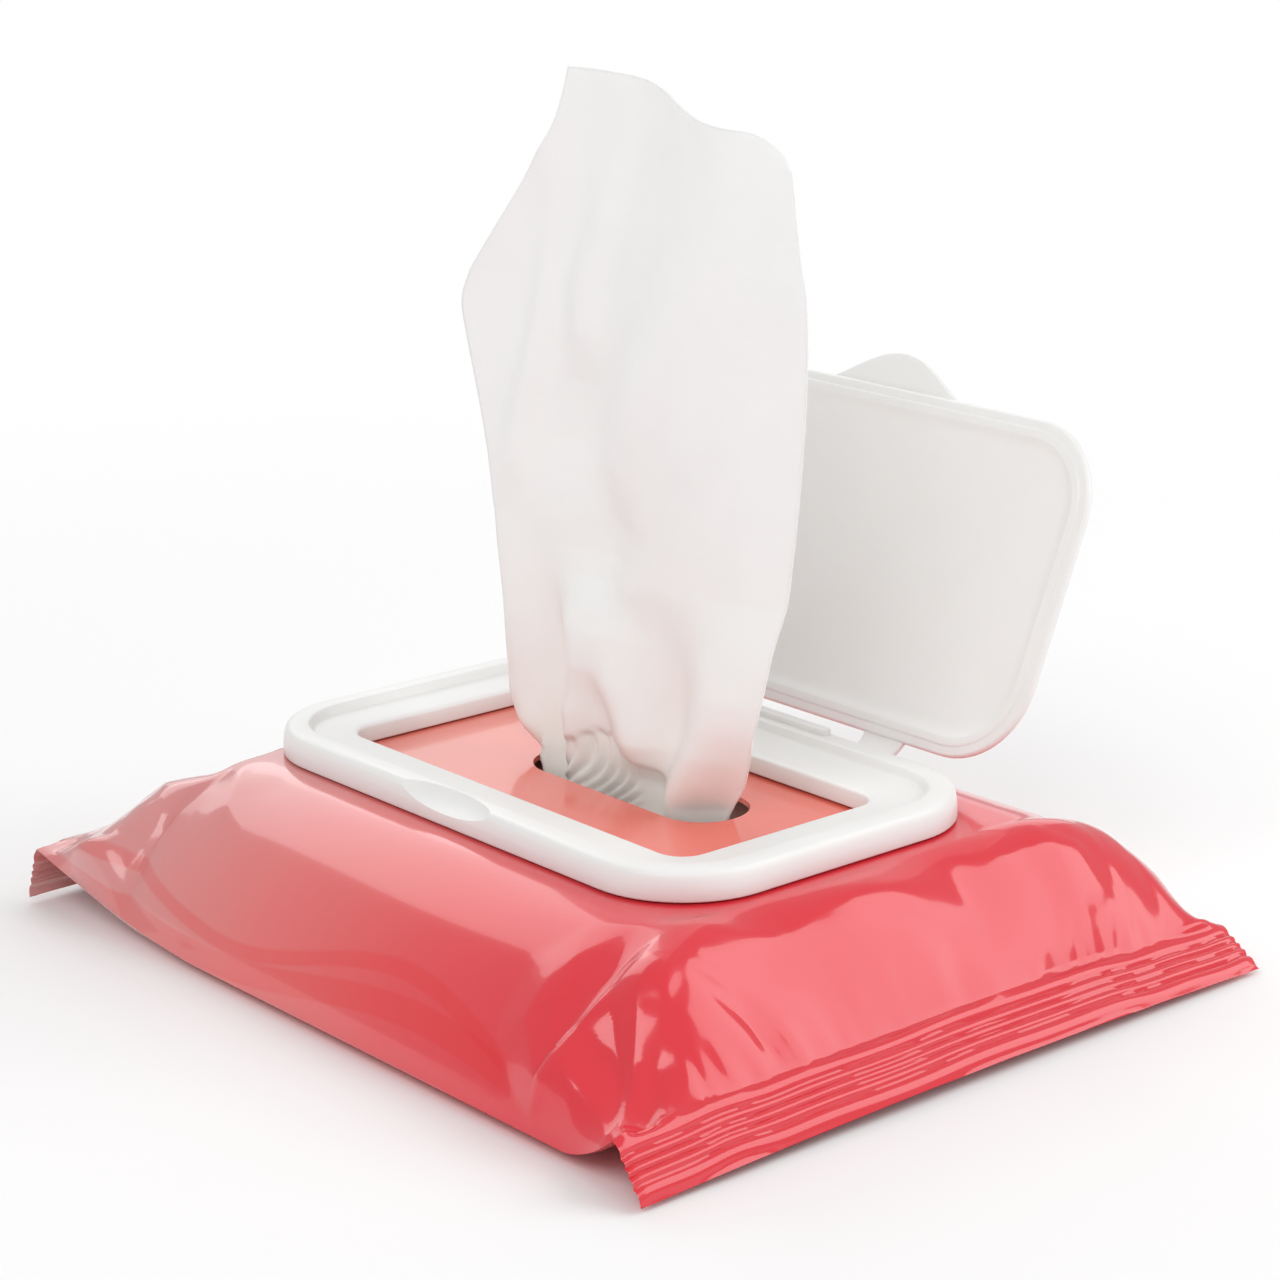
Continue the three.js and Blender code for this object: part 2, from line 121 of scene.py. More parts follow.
# Both plies of the film between the straight body, at w = 0, and the root of an end seal, at w = 1.
def film_ply(end, s, w, upper, seam=0, inset=0, narrow=0):
    side, share, body_y, rise = film_section(s, narrow)
    lean = np.radians(mix(end["front_lean"], end["back_lean"], (side * share + 1) / 2))
    tip_z = SEAL_CLEAR + SEAM + end["lift"] * (1 - share ** 2)
    root_x = end["tip"] - end["way"] * SEAL_WIDTH * np.cos(lean)
    root_y = side * share * SEAL_HALF
    root_z = tip_z + SEAL_WIDTH * np.sin(lean)
    x = mix(end["start"], root_x, w)

    def since(start):
        return np.clip((x - start) / (root_x - start), 0, 1)

    spread = since(end["side"]) ** SPREAD_POWER
    side_z = mix(SIDE_Z, root_z, spread)
    if not upper:
        base_z = mix(inset, root_z - seam, since(end["base"]) ** end["base_power"])
        curl = np.clip((share - BASE_FLAT) / (1 - BASE_FLAT), 0, 1) ** BASE_CURL_POWER
        y = mix(side * share * (BODY_HALF - narrow), root_y, spread)
        return np.stack([x, y, mix(base_z, side_z - seam, curl)], -1), lean
    top = since(end["top"] - end["way"] * end["corner"] * ease(share, CORNER_FROM, CORNER_TO))
    fold = np.abs(np.sin(np.pi * top))
    top_z = mix(FACING_Z - inset, root_z + seam, top ** end["top_power"])
    pleat = end["pleat"] * fold * np.cos(PLEATS * np.pi * share * side + PLEAT_PHASE)
    tuck = np.where(s < 0, end["front_tuck"], end["back_tuck"]) * fold * 4 * rise * (1 - rise)
    y = mix(side * body_y, root_y, spread) - side * tuck
    full = rise ** (1 - end["full"] * np.sqrt(fold))
    return np.stack([x, y, mix(side_z + seam, top_z + pleat, full)], -1), lean


def new_grid(name, columns, rows):
    bpy.ops.object.select_all(action="DESELECT")
    bpy.ops.mesh.primitive_grid_add(x_subdivisions=columns, y_subdivisions=rows, size=2)
    grid = bpy.context.object
    grid.name = name
    flat = np.empty(len(grid.data.vertices) * 3)
    grid.data.vertices.foreach_get("co", flat)
    return grid, flat.reshape(-1, 3)


def place_vertices(piece, points):
    piece.data.vertices.foreach_set("co", np.asarray(points, dtype=np.float64).ravel())
    piece.data.update()


# Columns of the sheet: left seal, left draw-in, straight body, right draw-in, right seal.
COLUMNS = (30, 64, 46, 60, 30)
MARKS = np.cumsum(COLUMNS)
ROWS = 160
PLY_EDGE = 0.03
PLY_COLUMNS = 3
RIDGE_WANDER = ((0.02, 7, 0), (0.012, 19, 1))
RIDGE_CROWD = 0.08
RIDGE_START = 0.06


# Root points of the crimped strips run on down the lean, with a row of pressed ridges along them.
def film_sheet(u, s, upper):
    column = (u + 1) / 2 * MARKS[-1]
    from_ends = MARKS[-1] / 2 - np.abs(column - MARKS[-1] / 2)
    seam = SEAM * ease(1 - np.abs(s), 0, PLY_EDGE) * ease(from_ends, 0, PLY_COLUMNS)
    left_w = np.clip((MARKS[1] - column) / COLUMNS[1], 0, 1)
    right_w = np.clip((column - MARKS[2]) / COLUMNS[3], 0, 1)
    along_body = np.clip((column - MARKS[1]) / COLUMNS[2], 0, 1)[:, None]
    left, left_lean = film_ply(LEFT_END, s, left_w, upper, seam)
    right, right_lean = film_ply(RIGHT_END, s, right_w, upper, seam)
    points = mix(left, right, along_body)
    strips = (
        (LEFT_END, left_lean, np.clip((MARKS[0] - column) / COLUMNS[0], 0, 1)),
        (RIGHT_END, right_lean, np.clip((column - MARKS[3]) / COLUMNS[4], 0, 1)),
    )
    for end, lean, share in strips:
        along = share * SEAL_WIDTH
        wander = sum(sway * np.sin(s * waves + shift) for sway, waves, shift in RIDGE_WANDER)
        wander -= RIDGE_CROWD * np.sin(2 * np.pi * share)
        ridge = np.abs(np.sin(np.pi * SEAL_RIDGES * (share + wander)))
        ridge *= RIDGE_HEIGHT * ease(share, 0, RIDGE_START)
        points[:, 0] += end["way"] * (along * np.cos(lean) + ridge * np.sin(lean))
        points[:, 2] += -along * np.sin(lean) + ridge * np.cos(lean)
    return points


# A crease of the sheet, as points along and across it in millimetres. It is sharp along its line, and
# its sides are flat out to its width. Negative heights are valleys. It thins out towards its last point.
CREASES = (
    (((76, -75), (63, -59), (56, -48), (52, -40)), -2.2, 7),
    (((76, -75), (59, -67), (49, -59), (48, -52), (51, -44)), 1.5, 6),
    (((76, -74), (68, -62), (63, -53), (60, -44)), 1.6, 5),
    (((77, -68), (71, -60), (67, -50)), -0.9, 4),
    (((64, -54), (59, -33), (60, -20)), 0.5, 9),
    (((59, -33), (64, -22), (62, -9), (62, 9), (58, 14)), 0.6, 7),
    (((65, 42), (63, 26), (58, 13)), 0.8, 7),
    (((76, -37), (72, -38), (66, -44)), -0.8, 5),
    (((76, -37), (71, -27), (66, -20)), 0.6, 5),
    (((76, -10), (70, -4), (64, 2)), -0.4, 6),
    (((75, 14), (70, 22), (66, 30)), 0.4, 7),
    (((75, 52), (68, 50), (58, 44)), 0.6, 8),
    (((76, 71), (71, 64), (62, 54), (54, 48)), 1.8, 10),
    (((74, 74), (62, 70), (50, 66)), -0.6, 6),
    (((-65, -49), (-42, -63), (-30, -68)), 1.3, 10),
    (((-47, -42), (-40, -49), (-33, -52), (-24, -57)), 1.0, 7),
    (((-65, -50), (-54, -46), (-44, -40)), -0.9, 7),
    (((-71, -74), (-69, -60), (-64, -48), (-58, -40)), 0.8, 6),
    (((-71, -75), (-56, -68), (-44, -60)), -1.2, 6),
    (((-71, -30), (-64, -26), (-57, -20)), -0.6, 6),
    (((-71, -6), (-64, -2), (-56, 4)), 0.35, 6),
    (((-71, 22), (-64, 20), (-57, 14)), -0.6, 6),
    (((-71, 46), (-62, 40), (-52, 36)), 0.45, 7),
    (((-71, 74), (-62, 62), (-50, 52)), -1.4, 7),
    (((-71, 75), (-56, 70), (-40, 64)), 0.8, 7),
)


def crease_height(x, t, points, height, width):
    lift = np.zeros_like(x)
    for number, (start, stop) in enumerate(zip(points, points[1:])):
        run = np.subtract(stop, start) * MM
        gap_x = x - start[0] * MM
        gap_t = t - start[1] * MM
        h = np.clip((gap_x * run[0] + gap_t * run[1]) / (run @ run), 0, 1)
        gap = np.hypot(gap_x - h * run[0], gap_t - h * run[1])
        fade = 1 - ((number + h) / (len(points) - 1)) ** 2
        lift = np.maximum(lift, fade * np.clip(1 - gap / (width * MM), 0, 1))
    return height * MM * lift


# Short puckers that the jaws pull into the film along a seal, in millimetres.
PUCKER_ROOT = 0.7
PUCKER_SPAN = 72
PUCKER_REACH = (2, 8)
PUCKER_SLANT = 0.5
PUCKER_HEIGHT = (0.06, 0.24)
PUCKER_WIDTH = (1.6, 3.6)
RIGHT_PUCKERS = 44
LEFT_PUCKERS = 36


def puckers(x, t, end, count, seed):
    draw = np.random.default_rng(seed)
    root = end["tip"] - end["way"] * SEAL_WIDTH * PUCKER_ROOT
    lift = np.zeros_like(x)
    for _ in range(count):
        place = draw.uniform(-PUCKER_SPAN, PUCKER_SPAN)
        reach = draw.uniform(*PUCKER_REACH)
        slant = draw.uniform(-PUCKER_SLANT, PUCKER_SLANT) * reach
        height = draw.uniform(*PUCKER_HEIGHT) * draw.choice((-1, 1))
        inner = (root / MM - end["way"] * reach, place + slant)
        width = draw.uniform(*PUCKER_WIDTH)
        lift += crease_height(x, t, ((root / MM, place), inner), height, width)
    return lift


# Unevenness of the film, as its waves' length along and across the sheet, over a place in the noise.
def film_noise(x, t, along, across, place):
    return np.array([noise.noise((a / along, b / across, place)) for a, b in zip(x, t)])


CRUMPLE_RIGHT = (44 * MM, 64 * MM)
CRUMPLE_LEFT = (30 * MM, 56 * MM)
CRUMPLE_HEIGHT = 0.5 * MM
CRUMPLE_MEAN = 0.25
DIMPLE_HEIGHT = 0.1 * MM
BILLOW_HEIGHT = 0.6 * MM
GLUED_RIM = (1 * MM, 10 * MM)
TAUT_SIDE = 0.08
TAUT_STRIP = 0.12
FRAME_HALF = (54.8 * MM, 35 * MM)
FRAME_CORNER = 17 * MM
film, spots = new_grid("film_wrapper", int(MARKS[-1]), ROWS)
u, s = spots[:, 0], spots[:, 1]
sheet = film_sheet(u, s, True)
order = np.lexsort((u.round(5), s.round(5)))
lattice = sheet[order].reshape(len(np.unique(s.round(5))), -1, 3)
facing = np.cross(np.gradient(lattice, axis=1), np.gradient(lattice, axis=0)).reshape(-1, 3)
normal = np.empty_like(sheet)
normal[order] = facing / np.maximum(np.linalg.norm(facing, axis=1, keepdims=True), 1e-12)
side, share, _, _ = film_section(s)
x, t = sheet[:, 0], side * share * SHEET_HALF
lift = np.zeros_like(x)
for points, height, width in CREASES:
    lift += crease_height(x, t, points, height, width)
lift += puckers(x, t, RIGHT_END, RIGHT_PUCKERS, 3) + puckers(x, t, LEFT_END, LEFT_PUCKERS, 5)
towards_end = np.maximum(ease(x, *CRUMPLE_RIGHT), ease(-x, *CRUMPLE_LEFT))
crumple = CRUMPLE_HEIGHT * (np.abs(film_noise(x, t, 11 * MM, 15 * MM, 4.2)) - CRUMPLE_MEAN)
dimple = DIMPLE_HEIGHT * film_noise(x, t, 5 * MM, 7 * MM, 9.1)
billow = BILLOW_HEIGHT * film_noise(x, t, 46 * MM, 34 * MM, 1.7)
lift += towards_end * (crumple + dimple) + billow
beyond = np.abs(sheet[:, :2]) - np.array(FRAME_HALF) + FRAME_CORNER
outside = np.hypot(*np.maximum(beyond, 0).T) + np.minimum(beyond.max(axis=1), 0) - FRAME_CORNER
column = (u + 1) / 2 * MARKS[-1]
on_strip = np.clip(np.maximum(1 - column / MARKS[0], (column - MARKS[3]) / COLUMNS[4]), 0, 1)
lift *= ease(outside, *GLUED_RIM) * ease(1 - np.abs(s), 0, TAUT_SIDE) * (1 - ease(on_strip, 0, TAUT_STRIP))
place_vertices(film, sheet + normal * lift[:, None])

base, spots = new_grid("film_base", int(MARKS[-1]), ROWS)
place_vertices(base, film_sheet(spots[:, 0], spots[:, 1], False))
film.select_set(True)
base.select_set(True)
bpy.context.view_layer.objects.active = film
bpy.ops.object.join()
bpy.ops.object.mode_set(mode="EDIT")
bpy.ops.mesh.select_all(action="SELECT")
bpy.ops.mesh.remove_doubles(threshold=0.01 * MM)
bpy.ops.mesh.normals_make_consistent(inside=False)
bpy.ops.object.mode_set(mode="OBJECT")

# Space inside the tube, which holds the stack.
CAVITY_INSET = 0.9 * MM
CAVITY_NARROW = 6 * MM
CAVITY_DIP = 3.5 * MM
CAVITY_DIP_FROM = 0.4
CAVITY_LEFT = 0.45
CAVITY_RIGHT = 0.3
CAVITY_GRID = (16, 32)
halves = []
for upper in (True, False):
    half, spots = new_grid("cavity", *CAVITY_GRID)
    along, across = spots[:, 0], spots[:, 1]
    left_w = CAVITY_LEFT * np.clip(-2 * along - 1, 0, 1)
    right_w = CAVITY_RIGHT * np.clip(2 * along - 1, 0, 1)
    inset = CAVITY_INSET + upper * CAVITY_DIP * ease(np.abs(along), CAVITY_DIP_FROM, 1)
    left, _ = film_ply(LEFT_END, across, left_w, upper, 0, inset, CAVITY_NARROW)
    right, _ = film_ply(RIGHT_END, across, right_w, upper, 0, inset, CAVITY_NARROW)
    place_vertices(half, mix(left, right, np.clip(along + 0.5, 0, 1)[:, None]))
    halves.append(half)
for half in halves:
    half.select_set(True)
bpy.context.view_layer.objects.active = halves[0]
bpy.ops.object.join()
cavity = bpy.context.object
bpy.ops.object.mode_set(mode="EDIT")
bpy.ops.mesh.select_all(action="SELECT")
bpy.ops.mesh.remove_doubles(threshold=0.01 * MM)
bpy.ops.mesh.fill_holes(sides=0)
bpy.ops.mesh.normals_make_consistent(inside=False)
bpy.ops.object.mode_set(mode="OBJECT")

SLOT_CENTRE = (4 * MM, 2.8 * MM)
SLOT_HALF = 15.2 * MM
SLOT_RADIUS = 7.8 * MM
SLOT_CUT = 6 * MM
bpy.ops.object.select_all(action="DESELECT")
bpy.ops.mesh.primitive_cylinder_add(vertices=96, radius=SLOT_RADIUS, depth=SLOT_CUT)
punch = bpy.context.object
for vertex in punch.data.vertices:
    vertex.co.x += math.copysign(SLOT_HALF, vertex.co.x)
    vertex.co += Vector((*SLOT_CENTRE, FACING_Z))


def combine(piece, tool, operation="DIFFERENCE"):
    bpy.ops.object.select_all(action="DESELECT")
    bpy.context.view_layer.objects.active = piece
    piece.select_set(True)
    boolean = piece.modifiers.new("cut", "BOOLEAN")
    boolean.operation = operation
    boolean.object = tool
    bpy.ops.object.modifier_apply(modifier=boolean.name)
    bpy.data.objects.remove(tool)


combine(film, cavity)
combine(film, punch)
FILM_SMOOTH = math.radians(55)
bpy.ops.object.shade_smooth_by_angle(angle=FILM_SMOOTH)


# A material whose Principled shader and texture nodes are filled in by each section.
def new_finish(name, **sockets):
    finish = bpy.data.materials.new(name)
    finish.use_nodes = True
    shader = finish.node_tree.nodes["Principled BSDF"]
    for socket, value in sockets.items():
        shader.inputs[socket.replace("_", " ")].default_value = value
    return finish, shader


def add_node(finish, kind, settings=None, **inputs):
    node = finish.node_tree.nodes.new(kind)
    for key, value in (settings or {}).items():
        setattr(node, key, value)
    for key, value in inputs.items():
        socket = node.inputs[int(key[1:])] if key[0] == "i" and key[1:].isdigit() else node.inputs[key]
        if isinstance(value, bpy.types.NodeSocket):
            finish.node_tree.links.new(value, socket)
        else:
            socket.default_value = value
    return node


def math_node(finish, operation, *values):
    inputs = {"i" + str(number): value for number, value in enumerate(values)}
    return add_node(finish, "ShaderNodeMath", {"operation": operation}, **inputs).outputs[0]


def range_node(finish, value, low, high, start=0.0, stop=1.0):
    node = add_node(finish, "ShaderNodeMapRange", i0=value, i1=low, i2=high, i3=start, i4=stop)
    return node.outputs[0]


def ramp_of(finish, factor, stops):
    node = add_node(finish, "ShaderNodeValToRGB", Fac=factor)
    elements = node.color_ramp.elements
    while len(elements) < len(stops):
        elements.new(0.5)
    for element, (place, colour) in zip(elements, stops):
        element.position = place
        element.color = (*colour, 1)
    return node.outputs["Color"]


def surface_bump(finish, shader, height, strength, distance):
    bump = add_node(finish, "ShaderNodeBump", Height=height, Strength=strength, Distance=distance)
    finish.node_tree.links.new(bump.outputs["Normal"], shader.inputs["Normal"])


DUSTY_PINK = (0.68, 0.31, 0.3)
PALE_ROSE = (0.73, 0.27, 0.26)
ROSE = (0.8, 0.17, 0.165)
CORAL = (0.8, 0.075, 0.085)
DEEP_CORAL = (0.77, 0.028, 0.045)
SALMON = (0.9, 0.2, 0.13)
INK_ENDS = (-76 * MM, 84 * MM)
printed_film, shader = new_finish(
    "printed_film", Roughness=0.17, IOR=1.5, Coat_Weight=0.6, Coat_Roughness=0.05,
)
place = add_node(printed_film, "ShaderNodeTexCoord").outputs["Object"]
split = add_node(printed_film, "ShaderNodeSeparateXYZ", Vector=place)
fade = range_node(printed_film, split.outputs["X"], *INK_ENDS)
film_colour = ramp_of(printed_film, fade, (
    (0.0, DUSTY_PINK), (0.2, PALE_ROSE), (0.38, ROSE), (0.6, CORAL), (0.8, DEEP_CORAL),
))
# Painted light: a lighter salmon is laid over the print on the top panel inside the frame, to lift the
# shade that the frame casts there.
PANEL_HALF = (48 * MM, 29 * MM)
PANEL_ABOVE = 25 * MM
PANEL_LIGHT_SHARE = 0.7
inside = None
for axis, half in zip("XY", PANEL_HALF):
    gap = math_node(printed_film, "ABSOLUTE", split.outputs[axis])
    within = math_node(printed_film, "LESS_THAN", gap, half)
    inside = within if inside is None else math_node(printed_film, "MULTIPLY", inside, within)
on_top = math_node(printed_film, "GREATER_THAN", split.outputs["Z"], PANEL_ABOVE)
panel = math_node(printed_film, "MULTIPLY", inside, on_top)
panel_light_share = math_node(printed_film, "MULTIPLY", panel, PANEL_LIGHT_SHARE)
print_and_panel_light = add_node(printed_film, "ShaderNodeMix", {"data_type": "RGBA"}, Factor=panel_light_share)
printed_film.node_tree.links.new(film_colour, print_and_panel_light.inputs[6])
print_and_panel_light.inputs[7].default_value = (*SALMON, 1)
film_colour = print_and_panel_light.outputs[2]
RIBBONS = ((7 * MM, 3 * MM, 58.0, 1.9 * MM), (11 * MM, 3.6 * MM, 74.0, 1.1 * MM))
RIBBON_EDGE = 0.25 * MM
RIBBON_TONE = 0.72
RIBBON_ENDS = (36 * MM, 52 * MM)
on_side = range_node(printed_film, split.outputs["X"], *RIBBON_ENDS)
for height, sway, pitch, half_width in RIBBONS:
    turn = math_node(printed_film, "MULTIPLY", split.outputs["X"], pitch)
    wave = math_node(printed_film, "SINE", turn)
    line = math_node(printed_film, "MULTIPLY_ADD", wave, sway, height)
    gap = math_node(printed_film, "ABSOLUTE", math_node(printed_film, "SUBTRACT", split.outputs["Z"], line))
    edge = (half_width - RIBBON_EDGE, half_width + RIBBON_EDGE)
    band = range_node(printed_film, gap, *edge, RIBBON_TONE, 1.0)
    tone = math_node(printed_film, "MAXIMUM", band, on_side)
    blend = {"data_type": "RGBA", "blend_type": "MULTIPLY"}
    tinted = add_node(printed_film, "ShaderNodeMix", blend, Factor=1.0)
    printed_film.node_tree.links.new(film_colour, tinted.inputs[6])
    shift = add_node(printed_film, "ShaderNodeCombineColor", i0=1.0, i1=tone, i2=tone)
    printed_film.node_tree.links.new(shift.outputs[0], tinted.inputs[7])
    film_colour = tinted.outputs[2]
printed_film.node_tree.links.new(film_colour, shader.inputs["Base Color"])
grain = add_node(printed_film, "ShaderNodeTexNoise", Vector=place, Scale=260.0, Detail=2.0)
surface_bump(printed_film, shader, grain.outputs[0], 0.05, 0.3 * MM)
film.data.materials.clear()
film.data.materials.append(printed_film)
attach(film, "pack")
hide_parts("film_pack")

# Stack: damp non-woven wipes, folded and laid one on another. The film holds them, and only the top
# sheets show, through the slot.
STACK_BOX = ((-46 * MM, -50 * MM, 1.4 * MM), (53 * MM, 50 * MM, 19 * MM))
STACK_CORNER = 6 * MM
STACK_LAYERS = 22
LAYER_SWELL = 1.007


def rounded_plate(name, low, high, corner, segments):
    bpy.ops.object.select_all(action="DESELECT")
    bpy.ops.mesh.primitive_plane_add(size=2)
    plate = bpy.context.object
    plate.name = name
    for vertex in plate.data.vertices:
        vertex.co.x = high[0] if vertex.co.x > 0 else low[0]
        vertex.co.y = high[1] if vertex.co.y > 0 else low[1]
        vertex.co.z = low[2]
    bpy.ops.object.mode_set(mode="EDIT")
    bpy.ops.mesh.select_all(action="SELECT")
    bpy.ops.mesh.bevel(offset=corner, segments=segments, affect="VERTICES")
    bpy.ops.mesh.select_mode(type="FACE")
    bpy.ops.mesh.select_all(action="SELECT")
    return plate


stack = rounded_plate("stack_of_wipes", *STACK_BOX, STACK_CORNER, 6)
layer = (STACK_BOX[1][2] - STACK_BOX[0][2]) / STACK_LAYERS
middle = [(low + high) / 2 for low, high in zip(*STACK_BOX)]
for _ in range(STACK_LAYERS):
    for height, swell in ((0.2, LAYER_SWELL), (0.6, 1), (0.2, 1 / LAYER_SWELL)):
        bpy.ops.mesh.extrude_region_move(TRANSFORM_OT_translate={"value": (0, 0, height * layer)})
        bpy.ops.transform.resize(value=(swell, swell, 1), center_override=middle)
bpy.ops.mesh.select_all(action="SELECT")
bpy.ops.mesh.normals_make_consistent(inside=False)
bpy.ops.object.mode_set(mode="OBJECT")
bpy.ops.object.shade_smooth_by_angle(angle=math.radians(40))
# Towards the slot, and over the whole stack, the cloth turns a lighter warm cream. The cream is the damp
# cloth's own colour. The red in it is painted light bounced from the film, and its extra lightness is
# painted light lifting the shade in the slot.
WIPE_WHITE = (0.92, 0.92, 0.91)
WIPE_MIDDLE = (0.94, 0.925, 0.9)
WIPE_DAMP_AND_BOUNCE = (0.96, 0.91, 0.83)
WIPE_TINT_ENDS = (20 * MM, 70 * MM)
damp_cloth, shader = new_finish(
    "damp_nonwoven", Roughness=0.8, Subsurface_Weight=0.35, Subsurface_Scale=1.5 * MM, Sheen_Weight=0.15,
)
shader.inputs["Subsurface Radius"].default_value = (1.0, 0.97, 0.94)
place = add_node(damp_cloth, "ShaderNodeTexCoord").outputs["Object"]
split = add_node(damp_cloth, "ShaderNodeSeparateXYZ", Vector=place)
cloud = add_node(damp_cloth, "ShaderNodeTexNoise", Vector=place, Scale=90.0, Detail=3.0)
height = range_node(damp_cloth, split.outputs["Z"], *WIPE_TINT_ENDS)
damp_and_bounce = ramp_of(damp_cloth, height, ((0.0, WIPE_DAMP_AND_BOUNCE), (0.35, WIPE_MIDDLE), (1.0, WIPE_WHITE)))
mottle = range_node(damp_cloth, cloud.outputs[0], 0.3, 0.7, 0.985, 1.01)
shade = add_node(damp_cloth, "ShaderNodeVectorMath", {"operation": "SCALE"}, i0=damp_and_bounce, Scale=mottle)
damp_cloth.node_tree.links.new(shade.outputs[0], shader.inputs["Base Color"])
fibres = add_node(damp_cloth, "ShaderNodeTexNoise", Vector=place, Scale=2400.0, Detail=2.0)
surface_bump(damp_cloth, shader, fibres.outputs[0], 0.12, 0.15 * MM)
stack.data.materials.append(damp_cloth)
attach(stack, "pack")
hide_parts("wipes_stack")

# Pulled wipe: one sheet of the same cloth, drawn up through the slot. The slot gathers it into a roll,
# a hollow and small pleats, and above them it opens out flat and stands by its own dampness.
WIPE_THICK = 0.5 * MM
WIPE_Y = 3.0
WIPE_LEFT = (
    (-16, 19.4), (-17.4, 25.5), (-21, 29.5), (-26, 34), (-28.6, 40), (-29.6, 50), (-31.6, 60.5),
    (-35.8, 79), (-40.4, 95), (-41.4, 100), (-40, 104), (-36.6, 108.7), (-23.2, 124), (-17.5, 130.6),
    (-14.9, 136), (-13.2, 141.4),
)
WIPE_RIGHT = (
    (23, 19.4), (25, 26), (28.4, 31.5), (31.4, 38.8), (34.8, 49.4), (37.2, 67.5), (39.2, 88),
    (40.2, 108), (39.2, 118), (38.4, 128), (38, 132.5), (36.8, 135.6),
)
WIPE_BILLOW = 3.4
WIPE_LOOSE_ABOVE = 60
WIPE_GRID = (150, 210)


# A smooth edge through its points, evenly spaced along its length.
def smooth_edge(points, count):
    p = np.array([points[0], *points, points[-1]], dtype=float)
    bends = []
    for a, b, c, d in zip(p, p[1:], p[2:], p[3:]):
        h = np.linspace(0, 1, 24, endpoint=False)[:, None]
        bends.append(b + 0.5 * h * (c - a + h * (2 * a - 5 * b + 4 * c - d + h * (3 * (b - c) + d - a))))
    curve = np.concatenate([*bends, p[-1:]])
    length = np.concatenate([[0], np.cumsum(np.linalg.norm(np.diff(curve, axis=0), axis=1))])
    even = np.linspace(0, length[-1], count)
    return np.stack([np.interp(even, length, curve[:, i]) for i in (0, 1)], -1)


# Folds of the wipe, each by height, centre, depth and half width from the slot upwards, in millimetres.
# A negative depth bulges towards the front, and a positive one is a hollow.
WIPE_FOLDS = (
    ((18, 18, -3.5, 4.5), (27, 18.5, -4, 4.8), (36, 22, -5, 6.5), (46, 26, -4, 8), (62, 30, 0, 10)),
    ((18, 9, 2, 3.6), (27, 10, 3, 3.6), (36, 12.5, 3.4, 4.5), (44, 13.5, 3, 6), (60, 11, 0, 8)),
    ((28, 9, -1, 5), (34, 6, -4, 5.5), (42, 0, -4, 6), (50, -5, -2.6, 8), (66, -4, 0, 12)),
    ((30, -9, -3, 3.2), (36, -10, -4.5, 4), (44, -10, -3.6, 4.5), (52, -13, -1.8, 6), (62, -16, 0, 9)),
    ((24, -14, 2, 2.4), (32, -15.5, 4, 3), (42, -18, 3.4, 4), (56, -21, 1.2, 5), (66, -24, 0, 6)),
    ((20, -16, -2, 3), (28, -19, -2, 3.5), (36, -25, -2, 4), (60, -30, -1, 4), (70, -33, 0, 5)),
    ((66, -30, 0, 4), (74, -29, -1.6, 3.2), (84, -27.5, -2, 3.2), (98, -24, -2, 3.2), (118, -19, -1, 3.5)),
    ((90, -14, 0, 5), (98, -13, -2, 4.4), (107, -12, -2.4, 4.4), (116, -8, -2, 4.4), (132, -5, -1, 5)),
    ((62, -6, 0, 9), (78, -1, -3, 8), (88, 4, -3, 8), (106, 15.7, -2.2, 8), (124, 27, -1, 8)),
    ((50, 0, 0, 8), (58, -7, 3, 7), (68, -5, 3, 8), (80, -9, 2, 9), (98, -4, 1, 10), (112, 4, 0, 10)),
)
HEM_X = (-13, -10, -5.5, -1, 3.5, 9, 12)
HEM_Z = (30.5, 31.3, 33.6, 33.4, 31.6, 30.2, 28.5)
HEM_DEPTH = 1.0
HEM_EDGE = 1.3
HEM_LEFT = (-14, -11.5)
HEM_RIGHT = (9, 12.5)
SLOT_LEAN = 2.0
SLOT_LEAN_ENDS = (28, 40)
PLEAT_PITCH = 2.9
PLEAT_DEPTH = 0.5
PLEAT_CURL = 0.12
PLEAT_LEVEL = 30
PLEATS_END = (3, 7)
BACK_BEND_Z = (50, 63, 79, 95, 118, 140)
BACK_BEND_X = (32, 29.9, 30.1, 31, 36, 40)
BACK_BEND_SLOPE = 0.25
BACK_BEND_STARTS = (50, 66)
FOOT_TURN = 3.2
FOOT_TURN_FROM = 0.8
FOOT_TURN_ENDS = (28, 42)
SLOT_ROOM = 7.1
SLOT_ROOM_END = 6.9
SLOT_FREE = (27, 32)
TOP_SWAY = 0.8
TOP_CORNER = 3.2
TOP_SWAY_FROM = 0.8
TOP_CORNER_FROM = (0.88, 0.93)
wipe, spots = new_grid("pulled_up_wipe", *WIPE_GRID)
across, up = (spots[:, 0] + 1) / 2, (spots[:, 1] + 1) / 2
v = np.unique(up.round(6))
row = np.searchsorted(v, up.round(6))
left_edge = smooth_edge(WIPE_LEFT, len(v))[row]
right_edge = smooth_edge(WIPE_RIGHT, len(v))[row]
x, z = mix(left_edge, right_edge, across[:, None]).T
z += TOP_SWAY * np.sin(2 * np.pi * across) * ease(up, TOP_SWAY_FROM, 1)
at_corner = np.clip((across - TOP_CORNER_FROM[0]) / (1 - TOP_CORNER_FROM[0]), 0, 1)
z -= TOP_CORNER * at_corner ** 2 * ease(up, TOP_CORNER_FROM[1], 1)
loose = np.clip((z - FACING_Z / MM) / WIPE_LOOSE_ABOVE, 0, 1)
y = WIPE_Y + WIPE_BILLOW * loose * np.sin(2 * np.pi * across)
for fold in WIPE_FOLDS:
    heights, centres, depths, widths = np.array(fold).T
    off = (x - np.interp(z, heights, centres)) / np.interp(z, heights, widths)
    y += np.interp(z, heights, depths) * np.exp(-off ** 2)
hem = np.interp(x, HEM_X, HEM_Z)
